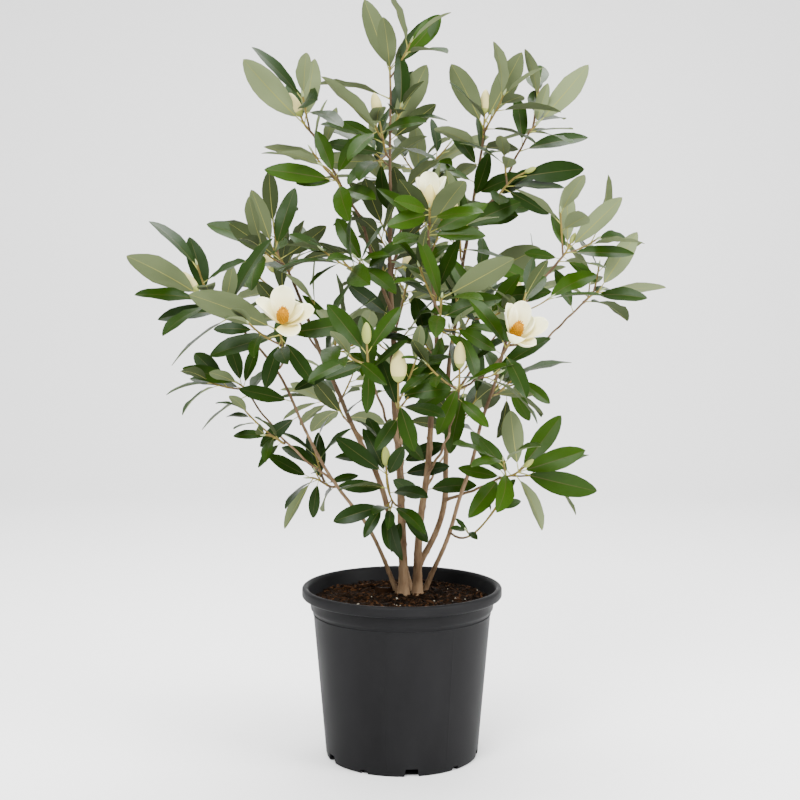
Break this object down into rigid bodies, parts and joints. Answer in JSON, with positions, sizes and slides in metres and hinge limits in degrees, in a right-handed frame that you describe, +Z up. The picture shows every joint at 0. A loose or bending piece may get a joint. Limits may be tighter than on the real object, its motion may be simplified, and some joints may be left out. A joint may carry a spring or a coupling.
{
  "type": "potted magnolia tree",
  "caption": "Young magnolia with several slender stems, glossy leaves pale beneath, cream flowers and buds, growing in a round black nursery pot filled with bark mix.",
  "frame": {"origin": "centre of the pot's flat underside", "axes": "+Z up, along the pot's axis; the plant's front, as the picture shows it, faces -Y"},
  "size_m": [0.8605, 0.7586, 1.3262],
  "materials": {
    "pot": "satin",
    "soil": "matte",
    "bark": "matte",
    "foliage": "satin"
  },
  "bodies": {
    "root": {"pot": "pot", "soil": "soil", "stem_leader": "bark", "stem_left": "bark", "stem_low_left": "bark", "stem_centre": "bark", "stem_right": "bark", "bough_right_leader": "bark", "bough_top_left": "bark", "bough_top_right": "bark", "bough_low_left": "bark", "bough_low_right": "bark", "bough_far_right": "bark", "bough_front_left": "bark", "bough_front": "bark", "bough_front_right": "bark", "bough_right_flower": "bark", "bough_back_low_left": "bark", "bough_back_low_right": "bark", "bough_back_left": "bark", "bough_back_right": "bark", "bough_back": "bark", "bough_back_upper": "bark", "leaves_top": "foliage", "leaves_top_left": "foliage", "leaves_left_top": "foliage", "leaves_left_top_low": "foliage", "leaves_right_top": "foliage", "leaves_right_upper": "foliage", "leaves_right_upper_low": "foliage", "leaves_upper_centre": "foliage", "leaves_far_left": "foliage", "leaves_left_flower": "foliage", "leaves_left_mid": "foliage", "leaves_left_low": "foliage", "leaves_left_low_inner": "foliage", "leaves_lower_left": "foliage", "leaves_front_low": "foliage", "leaves_front_centre": "foliage", "leaves_centre_right": "foliage", "leaves_centre": "foliage", "leaves_right_flower": "foliage", "leaves_right": "foliage", "leaves_far_right": "foliage", "leaves_right_mid": "foliage", "leaves_lower_right": "foliage", "leaves_low_right": "foliage", "leaves_inner_left": "foliage", "leaves_inner_top_left": "foliage", "leaves_inner_top": "foliage", "leaves_inner_right": "foliage", "leaves_inner_top_right": "foliage", "leaves_inner_centre": "foliage", "leaves_back_low_left": "foliage", "leaves_back_low_right": "foliage", "leaves_back_left": "foliage", "leaves_back_right": "foliage", "leaves_back": "foliage", "leaves_back_top": "foliage", "leaves_back_upper": "foliage"}
  },
  "joints": []
}
